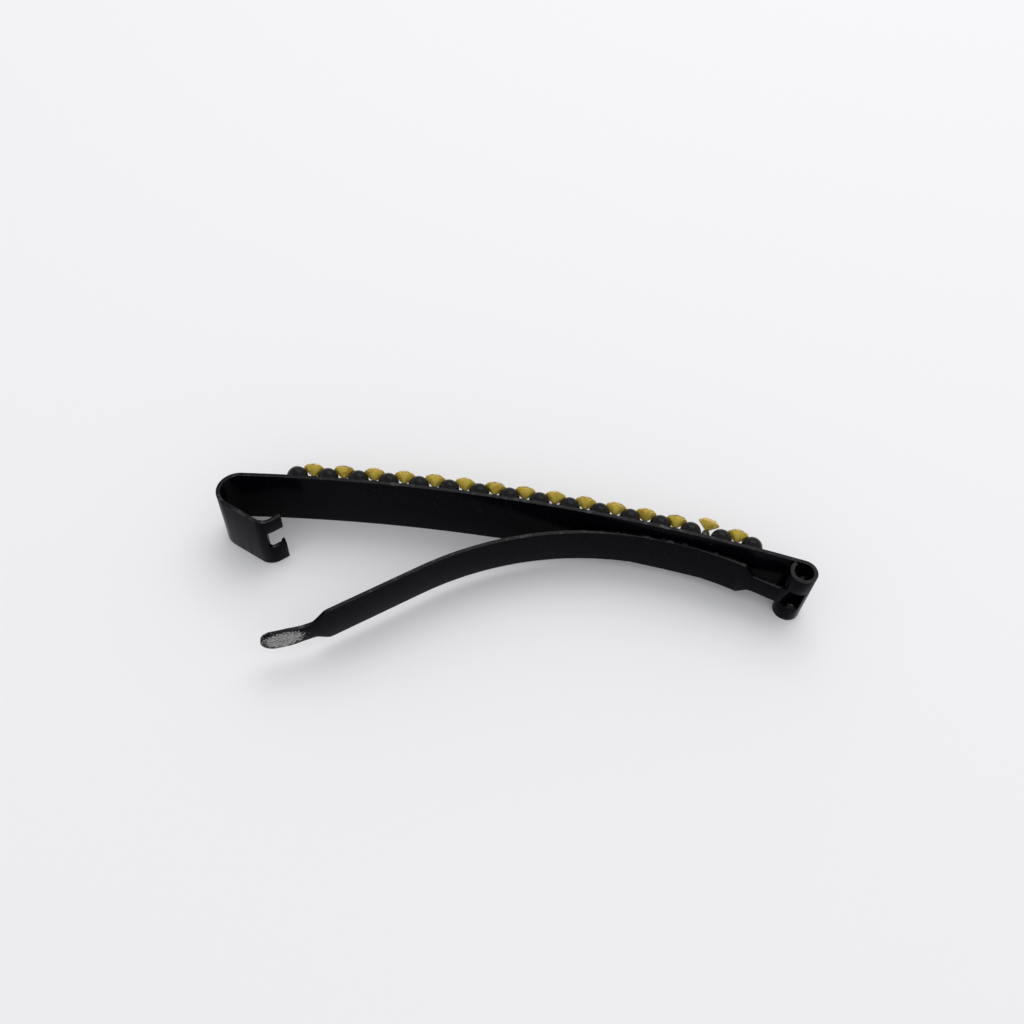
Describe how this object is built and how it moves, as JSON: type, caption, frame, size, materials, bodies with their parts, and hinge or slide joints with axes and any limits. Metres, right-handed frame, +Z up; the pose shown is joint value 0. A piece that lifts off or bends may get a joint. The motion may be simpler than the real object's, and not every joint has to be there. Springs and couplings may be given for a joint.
{
  "type": "bar hair clip",
  "caption": "Slim arched bar hair clip with a hooked catch, a hinged bowed spring arm and rows of beads and pointed stones along its outer face.",
  "frame": {"origin": "centre of the bounding box, at the height of the surface it lies on", "axes": "lies on its long edge as in use on a table: +X along the bar from the catch to the hinge, +Y outwards to the stones, +Z up across the strip's width; the spring arm is open"},
  "size_m": [0.0686, 0.0244, 0.008],
  "materials": {
    "bar_enamel": "glossy black enamel over steel",
    "arm_enamel": "glossy black enamel over spring steel, worn to bare metal at the tip",
    "carrier": "satin black strip",
    "beads": "glossy black round beads",
    "glue": "clear, slightly milky glue",
    "stones": "clear cut glass with gold foil on the pointed back"
  },
  "bodies": {
    "bar": {"top_bar": "bar_enamel", "trim_band": "carrier", "beads_front": "beads", "beads_back": "beads", "glue_front": "glue", "glue_back": "glue", "front_stone_01": "stones", "front_stone_02": "stones", "front_stone_03": "stones", "front_stone_04": "stones", "front_stone_05": "stones", "front_stone_06": "stones", "front_stone_07": "stones", "front_stone_08": "stones", "front_stone_09": "stones", "front_stone_10": "stones", "front_stone_11": "stones", "front_stone_12": "stones", "front_stone_13": "stones", "front_stone_14": "stones", "front_stone_15": "stones", "back_stone_01": "stones", "back_stone_02": "stones", "back_stone_03": "stones", "back_stone_04": "stones", "back_stone_05": "stones", "back_stone_06": "stones", "back_stone_07": "stones", "back_stone_08": "stones", "back_stone_09": "stones", "back_stone_10": "stones", "back_stone_11": "stones", "back_stone_12": "stones", "back_stone_13": "stones", "back_stone_14": "stones", "back_stone_15": "stones"},
    "arm": {"arm_root": "arm_enamel"},
    "leaf_1": {"leaf_1": "arm_enamel"},
    "leaf_2": {"leaf_2": "arm_enamel"},
    "leaf_3": {"leaf_3": "arm_enamel"},
    "leaf_4": {"leaf_4": "arm_enamel"},
    "leaf_5": {"leaf_5": "arm_enamel"}
  },
  "joints": [
    {"name": "arm_hinge", "type": "hinge", "parent": "bar", "child": "arm", "pos_m": [0.03276, 0.00513, 0.004], "axis": [0, 0, -1], "range_deg": [-75, 0]},
    {"name": "leaf_flex", "type": "hinge", "parent": "arm", "child": "leaf_1", "pos_m": [0.01234, 0.00775, 0.004], "axis": [0, 0, -1], "range_deg": [0, 4.4], "stiffness_Nm_per_rad": 0.00015},
    {"name": "leaf_flex_2", "type": "hinge", "parent": "leaf_1", "child": "leaf_2", "pos_m": [0.00736, 0.00708, 0.004], "axis": [0, 0, -1], "range_deg": [0, 4.45], "stiffness_Nm_per_rad": 0.00015},
    {"name": "leaf_flex_3", "type": "hinge", "parent": "leaf_2", "child": "leaf_3", "pos_m": [0.00251, 0.00577, 0.004], "axis": [0, 0, -1], "range_deg": [0, 4.45], "stiffness_Nm_per_rad": 0.00015},
    {"name": "leaf_flex_4", "type": "hinge", "parent": "leaf_3", "child": "leaf_4", "pos_m": [-0.00213, 0.00383, 0.004], "axis": [0, 0, -1], "range_deg": [0, 4.45], "stiffness_Nm_per_rad": 0.00015},
    {"name": "leaf_flex_5", "type": "hinge", "parent": "leaf_4", "child": "leaf_5", "pos_m": [-0.00647, 0.00129, 0.004], "axis": [0, 0, -1], "range_deg": [0, 4.45], "stiffness_Nm_per_rad": 0.00015}
  ],
  "couplings": [
    {"joint": "leaf_flex_2", "follows": "leaf_flex", "ratio": 1},
    {"joint": "leaf_flex_3", "follows": "leaf_flex", "ratio": 1},
    {"joint": "leaf_flex_4", "follows": "leaf_flex", "ratio": 1},
    {"joint": "leaf_flex_5", "follows": "leaf_flex", "ratio": 1}
  ]
}
